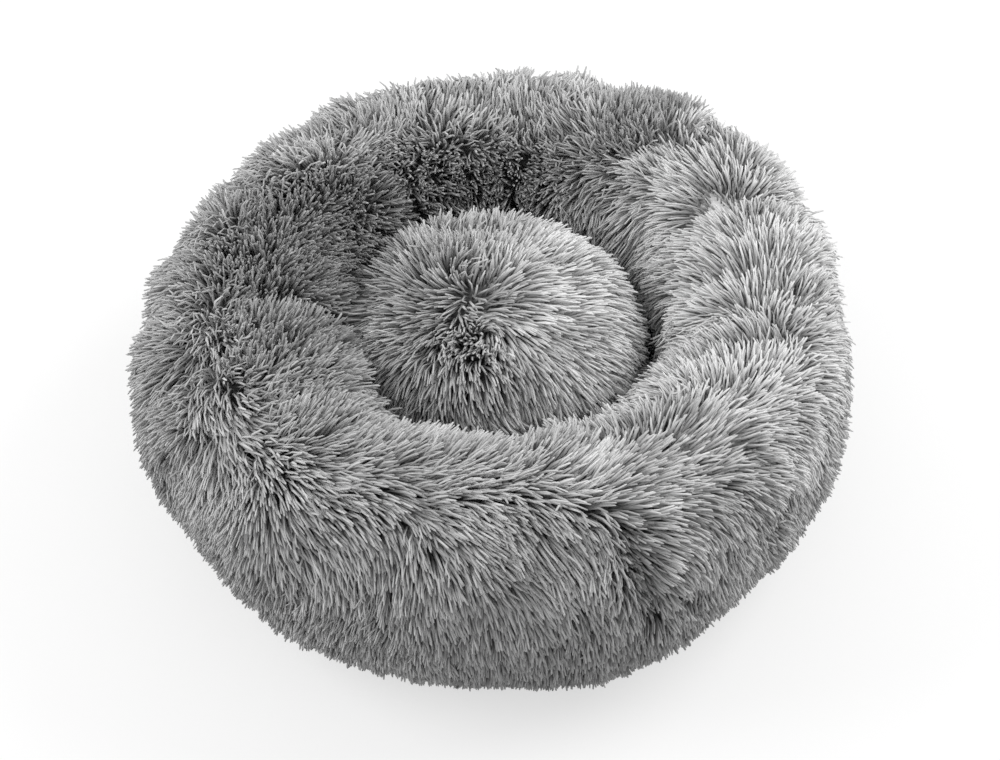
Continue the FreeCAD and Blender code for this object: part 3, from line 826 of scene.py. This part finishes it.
def build_cushion():
    """The loose cushion: its dome and pile, then its cloth underside, edge tape and stuffing."""
    backing = cloth_material("cushion_backing", 0.05, 0.12, 0.0016)
    bearing, along = places(DOME.length, 110, 50)
    held = 1 - smoothstep(0.004, 0.012, along) * smoothstep(0.004, 0.020, DOME.length - along)
    points = plumped("dome_cover", dome_point(bearing, along), held, facing=-1)
    skin = subdivided(grid_mesh("cushion_skin", points[:, ::-1], backing))
    settle(skin, "cushion", "cushion_plush", "cushion_top_cover")
    surface = Skin(points, DOME.length, facing=-1)

    rng = np.random.default_rng(8)
    bearing, along = rows(DOME, lambda at: CUSHION_SPACING, rng)
    roots, normals, _, _ = surface.read(bearing, along)
    from_whorl = roots[:, :2] - WHORL
    flat = np.concatenate([from_whorl, np.zeros((len(roots), 1))], axis=1)
    away = unit(flat - normals * (flat * normals).sum(axis=1, keepdims=True))
    distance = np.linalg.norm(from_whorl, axis=1)[:, None]
    swirl = np.cross(normals, away) * 0.7 * np.exp(-((distance / 0.028) ** 2))
    ruffled = 0.20 + 0.45 * np.exp(-((distance / 0.040) ** 2))
    ruffled = ruffled * (1 - 0.6 * smoothstep(0.0, 0.04, roots[:, :1]))
    comb = away * smoothstep(0.0, 0.02, distance) + swirl
    comb += (noise_vectors(roots, 81, 0.055) + 0.5 * noise_vectors(roots, 85, 0.026)) * ruffled
    comb = unit(comb, 1.0)
    # The right half lies flatter, so the tones paint it paler: painted sheen.
    lean = 0.62 + 0.24 * smoothstep(-0.05, 0.05, roots[:, 0]) + 0.07 * smooth_noise(roots, 91, 0.04)
    lean = np.clip(lean, 0.2, 0.9)
    clump = clump_of(roots, 0.006, 43)
    length = CUSHION_PILE + 0.004 * smoothstep(0.0, 0.06, -roots[:, 0])
    length = length * rng.uniform(0.85, 1.1, len(roots))
    length = length * (1 - 0.35 * np.exp(-((distance[:, 0] / 0.022) ** 2)))
    line = centre_lines(roots, normals, comb, length, lean, np.full(len(roots), 0.12), clump, rng)
    # Tones with painted shade and sheen by how far the pile lies over.
    tone = strand_tones_and_painted_shade(clump, lean, 9)
    width = rng.uniform(*WIDTHS, len(roots))
    plush = plush_material("plush_cushion", 0.76)
    rear = (bearing < math.pi).astype(int)
    pile("cushion_pile", (line, width, tone), rear, plush, "cushion", "cushion_plush")
    build_cushion_underside()


def cushion_bowl(bearing, along, inset=0.0):
    """The cloth under the cushion, from its middle out and up to the edge seam, where it puckers."""
    foot_r, foot_z = CUSHION_FOOT
    t = np.clip((along - foot_r) / CUSHION_RISE, 0, 1)
    radius = np.where(along < foot_r, along, foot_r + (CUSHION_RIM - foot_r) * np.sin(t * math.pi / 2))
    height = foot_z + (CUSHION_SEAM - foot_z) * (1 - np.cos(t * math.pi / 2))
    wave = np.sin(bearing * 46 + 2 * np.sin(bearing * 7))
    pucker = wave * 0.0013 * smoothstep(0.5, 1.0, t) * (1 - t * 0.35)
    return polar(bearing, radius * (1 - inset / 0.1) + pucker, height + inset)


def build_cushion_underside():
    cloth = cloth_material("cushion_cloth", 0.16, 0.30, 0.0011)
    bearing, along = places(BOWL_LENGTH, 230, 44)
    held = 1 - smoothstep(CUSHION_FOOT[0] - 0.004, CUSHION_FOOT[0] + 0.012, along)
    held = np.maximum(held, smoothstep(0.006, 0.001, BOWL_LENGTH - along))
    points = plumped("bowl_cover", cushion_bowl(bearing, along), held)
    bowl = subdivided(grid_mesh("cushion_underside", points, cloth))
    settle(bowl, "cushion", "cushion_cloth", "cushion_bottom_cover")
    fibre = bpy.data.materials["fibre_filling"]
    low = grid_of(cushion_bowl, BOWL_LENGTH, 144, 40, inset=0.002)
    high = grid_of(dome_point, DOME.length, 144, 50, inset=0.005)[:, ::-1]
    points = np.concatenate([low, high], axis=1)
    points = points * np.array([0.985, 0.985, 1.0])
    stuffing = grid_mesh("cushion_stuffing", points, fibre)
    settle(stuffing, "cushion", "fibre_filling", "cushion_filling")
    tape = cloth_material("edge_tape", 0.10, 0.20, 0.0008)
    outline = rounded_box(0.0905, 0.1004, CUSHION_SEAM - 0.0036, CUSHION_SEAM, 0.0008)
    edge = turned_tube("cushion_edge", outline, tape, wave=0.00025, waves=96, columns=768)
    settle(edge, "cushion", "edge_tape", "cushion_edge_tape")


# ---- base, gusset and zip


def disc_points(radius, low, high, quilt=0.0):
    """A closed disc of cloth: underside, rolled edge and upper side."""
    columns, rows_ = 192, 40
    reach = np.linspace(0.0, radius - (high - low) / 2, rows_)
    turn = np.linspace(-math.pi / 2, math.pi / 2, 9)[1:-1]
    half, middle = (high - low) / 2, (high + low) / 2
    line_r = np.concatenate([reach, radius - half + half * np.cos(turn), reach[::-1]])
    line_z = np.concatenate([np.full(rows_, low), middle + half * np.sin(turn), np.full(rows_, high)])
    bearing = np.linspace(0, TURN, columns, endpoint=False)[:, None]
    points = polar(bearing, line_r, line_z)
    if quilt:
        upper = np.arange(len(line_r)) >= rows_ + len(turn)
        points[:, upper, 2] += smooth_noise(points[:, upper], 77, 0.06) * quilt
    return points


def repeated_tube(name, rings, bearings, material):
    """Copies of one closed tube round the Z axis. rings holds its corners, as (arc, radius, height)."""
    sections, corners = rings.shape[:2]
    arc, radius, height = rings.reshape(-1, 3).T
    verts = polar(bearings[:, None] + arc / radius, radius, height)
    faces = [list(range(corners))[::-1], [(sections - 1) * corners + c for c in range(corners)]]
    for k in range(sections - 1):
        for c in range(corners):
            d = (c + 1) % corners
            faces.append([k * corners + c, k * corners + d, (k + 1) * corners + d, (k + 1) * corners + c])
    loops = np.concatenate(faces)
    loops = (loops[None, :] + (np.arange(len(bearings)) * sections * corners)[:, None]).ravel()
    totals = np.tile([len(face) for face in faces], len(bearings))
    uv = np.full((len(loops), 2), 0.5)
    piece = mesh_from_arrays(name, verts, loops, totals, uv, material)
    work = bmesh.new()
    work.from_mesh(piece.data)
    bmesh.ops.recalc_face_normals(work, faces=work.faces)
    work.to_mesh(piece.data)
    work.free()
    return piece


def stitch_rings(radius, height, length, out_half, up_half):
    """Sections of one stitch that lies along the seam, six-sided and pinched at its ends."""
    turn = np.arange(6) / 6 * TURN
    rings = []
    for share, girth in ((-0.5, 0.25), (-0.3, 1.0), (0.3, 1.0), (0.5, 0.25)):
        out, up = radius + np.cos(turn) * out_half * girth, height + np.sin(turn) * up_half * girth
        rings.append(np.stack([np.full(6, share * length), out, up], axis=1))
    return np.array(rings)


# Radii of the cloth discs and the base's stitching, in metres, and the label's bearing in degrees.
BASE_RADIUS = 0.204
FLOOR_RADIUS = 0.132
BASE_SEAM_RADIUS = 0.1995
STITCH_PITCH = 0.0042
LABEL_BEARING = 200


def build_base():
    """The base disc, the well's floor, their seams, the gusset, the label and the zip."""
    thread = speckled_material("thread", 0.30, 0.42, 900.0, 0.8)
    base_cloth = cloth_material("base_cloth", 0.035, 0.09, 0.0012, roughness=0.7, relief=0.5)
    base = grid_mesh("base_cloth_disc", disc_points(BASE_RADIUS, 0.0, 0.0016), base_cloth)
    settle(base, "root", "base_cloth", "base_panel")
    floor_cloth = cloth_material("floor_cloth", 0.12, 0.24, 0.0011)
    points = disc_points(FLOOR_RADIUS, 0.0017, 0.0031, quilt=0.0002)
    floor = grid_mesh("well_floor_disc", points, floor_cloth)
    settle(floor, "root", "floor_cloth", "well_floor")
    count = int(TURN * BASE_SEAM_RADIUS / STITCH_PITCH)
    rings = stitch_rings(BASE_SEAM_RADIUS, 0.0002, 0.0032, 0.0003, 0.0002)
    stitching = repeated_tube("base_stitching", rings, np.arange(count) / count * TURN, thread)
    settle(stitching, "root", "seam_tape")

    gusset_cloth = cloth_material("gusset_cloth", 0.04, 0.10, 0.0012, roughness=0.7, relief=0.5)
    outline = rounded_box(0.2028, 0.2040, 0.0016, 0.0160, 0.0003)
    gusset = turned_tube("gusset_cloth_strip", outline, gusset_cloth, ZIP_END, ZIP_START + 360.0, columns=420)
    settle(gusset, "root", "gusset_cloth", "gusset_strip")

    tape = cloth_material("seam_tape", 0.08, 0.18, 0.0008)
    outline = rounded_box(0.109, 0.113, 0.0032, 0.0058, 0.0008)
    seam = turned_tube("well_seam_tape", outline, tape, wave=0.0003, waves=80, columns=640)
    settle(seam, "root", "seam_tape", "inner_seam_tape")
    build_label(thread)
    build_zip()


def build_label(thread):
    """A blank satin label, folded edges, sewn on along its short sides."""
    satin = cloth_material("label_satin", 0.70, 0.86, 0.0004, roughness=0.35, relief=0.1)
    outline = rounded_box(0.20405, 0.20448, 0.0035, 0.0145, 0.0002)
    half = math.degrees(0.015 / BASE_RADIUS)
    first, last = LABEL_BEARING - half, LABEL_BEARING + half
    label = turned_tube("label_satin_strip", outline, satin, first, last, columns=40)
    settle(label, "root", "label_satin", "care_label")
    ends = np.radians([LABEL_BEARING - half * 0.88, LABEL_BEARING + half * 0.88])
    for number, height in enumerate((0.0055, 0.0095, 0.0130)):
        rings = stitch_rings(0.2045, height, 0.0022, 0.0002, 0.0003)
        settle(repeated_tube(f"label_stitches_{number + 1}", rings, ends, thread), "root", "seam_tape")


def coil_mesh(name, low, high, side, material):
    """A zip's coil: one bent loop of nylon for each tooth, hooked over towards the other tape."""
    first, last = math.radians(ZIP_START + 0.7), math.radians(ZIP_END - 0.7)
    count = int((last - first) * ZIP_FACE / TOOTH_PITCH)
    bearing = first + (np.arange(count) + (0.5 if side > 0 else 0.0)) / count * (last - first)
    inside, outside = ZIP_FACE + 0.0003, ZIP_FACE + 0.0013
    reach, root = (high, low) if side < 0 else (low, high)
    path = [
        (inside, root),
        (inside, (root + reach) / 2),
        (inside + 0.0001, reach + side * 0.0004),
        ((inside + outside) / 2, reach + side * 0.0002),
        (outside - 0.0001, reach + side * 0.0004),
        (outside, (root + reach) / 2),
        (outside, root),
    ]
    half = 0.00028
    way = unit(np.gradient(np.array(path), axis=0)) * half
    rings = [
        [(-half, r, z), (0.0, r - dz, z + dr), (half, r, z), (0.0, r + dz, z - dr)]
        for (r, z), (dr, dz) in zip(path, way)
    ]
    return repeated_tube(name, np.array(rings), bearing, material)


def build_zip():
    tape_cloth = cloth_material("zip_tape", 0.05, 0.13, 0.0007, roughness=0.8)
    nylon = speckled_material("zip_coil", 0.05, 0.09, 400.0, 0.4, relief=0.05)
    for name, node, low, high, teeth_low, teeth_high, side in (
        ("lower_zip_tape", "zip_tape_lower", 0.0016, 0.0078, 0.0069, 0.0083, -1),
        ("upper_zip_tape", "zip_tape_upper", 0.0098, 0.0160, 0.0093, 0.0107, 1),
    ):
        outline = rounded_box(ZIP_FACE - 0.0008, ZIP_FACE, low, high, 0.0002)
        tape = turned_tube(name, outline, tape_cloth, ZIP_START, ZIP_END, columns=360)
        settle(tape, "root", "zip_tape", node)
        coil = coil_mesh(name.replace("tape", "teeth"), teeth_low, teeth_high, side, nylon)
        settle(coil, "root", "zip_coil", node.replace("tape", "coil"))


def dress_kept_nodes():
    """Materials for the CAD pieces that show as they are."""
    gunmetal = speckled_material("zip_gunmetal", 0.22, 0.34, 300.0, 0.32, metallic=1.0, relief=0.05)
    steel = speckled_material("zip_stop_metal", 0.45, 0.60, 300.0, 0.35, metallic=1.0, relief=0.05)
    rubber = speckled_material("grip_rubber", 0.015, 0.045, 700.0, 0.75, relief=0.4)
    for node, material in (
        ("zip_slider", gunmetal),
        ("zip_pull", gunmetal),
        ("zip_stops", steel),
        ("grip_dots", rubber),
    ):
        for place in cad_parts[node].material_slots:
            place.material = material


# ---- stage


def aimed(name, data, place, target):
    """A lamp or camera at a place, facing a target."""
    thing = bpy.data.objects.new(name, data)
    thing.location = place
    thing.rotation_euler = (Vector(target) - Vector(place)).to_track_quat("-Z", "Y").to_euler()
    SCENE.collection.objects.link(thing)
    return thing


def area_light(name, place, size, power):
    data = bpy.data.lights.new(name, "AREA")
    data.shape = "DISK"
    data.size = size
    data.energy = power
    aimed(name, data, place, (0, 0, 0.1))


WHITE = (1.0, 1.0, 1.0, 1.0)
FLOOR_GREY = (0.42, 0.42, 0.42, 1.0)
FLOOR_GLOW = 0.62
AMBIENT = 0.57


def build_stage():
    """A floor that looks white, a white backdrop and two lamps."""
    floor_material, nodes, links, shader = new_material("pale_floor")
    set_values(shader, {"Base Color": FLOOR_GREY, "Roughness": 0.9})
    set_values(shader, {"Specular IOR Level": 0.0, "Emission Color": WHITE})
    straight = nodes.new("ShaderNodeLightPath")
    glow = add_node(nodes, "ShaderNodeMath", {1: FLOOR_GLOW}, operation="MULTIPLY")
    links.new(straight.outputs["Is Camera Ray"], glow.inputs[0])
    links.new(glow.outputs[0], shader.inputs["Emission Strength"])
    bpy.ops.mesh.primitive_circle_add(vertices=96, radius=9.0, fill_type="NGON", location=(0, 0, 0))
    floor = bpy.context.object
    floor.name = "floor"
    floor.data.materials.append(floor_material)

    world = SCENE.world = bpy.data.worlds.new("studio")
    world.use_nodes = True
    nodes, links = world.node_tree.nodes, world.node_tree.links
    ambient = nodes["Background"]
    set_values(ambient, {"Color": WHITE, "Strength": AMBIENT})
    backdrop = add_node(nodes, "ShaderNodeBackground", {"Color": WHITE})
    seen = nodes.new("ShaderNodeLightPath")
    mix = nodes.new("ShaderNodeMixShader")
    links.new(seen.outputs["Is Camera Ray"], mix.inputs["Fac"])
    links.new(ambient.outputs[0], mix.inputs[1])
    links.new(backdrop.outputs[0], mix.inputs[2])
    links.new(mix.outputs[0], nodes["World Output"].inputs["Surface"])

    area_light("left", (-1.80, 0.0, 1.10), 1.5, 22.0)
    area_light("right", (1.60, 0.60, 1.30), 1.5, 25.0)
    SCENE.view_settings.view_transform = "Standard"


CAMERA_ELEVATION = math.radians(47.0)
CAMERA_DISTANCE = 1.5
LENS = 76.75
BED_MIDDLE = Vector((0.0, 0.0, 0.0975))
# The camera aims a little right of and below the bed's middle, in metres across its view.
AIM_RIGHT, AIM_UP = 0.0026, -0.0144


def build_camera():
    data = bpy.data.cameras.new("camera")
    data.lens = LENS
    data.sensor_width = 36.0
    level, rise = math.cos(CAMERA_ELEVATION), math.sin(CAMERA_ELEVATION)
    back = Vector((0.0, -level, rise))
    up = Vector((0.0, rise, level))
    target = BED_MIDDLE + Vector((AIM_RIGHT, 0, 0)) + up * AIM_UP
    SCENE.camera = aimed("camera", data, BED_MIDDLE + back * CAMERA_DISTANCE, target)


build_camera()
build_stage()
build_bolster()
build_cushion()
build_base()
dress_kept_nodes()
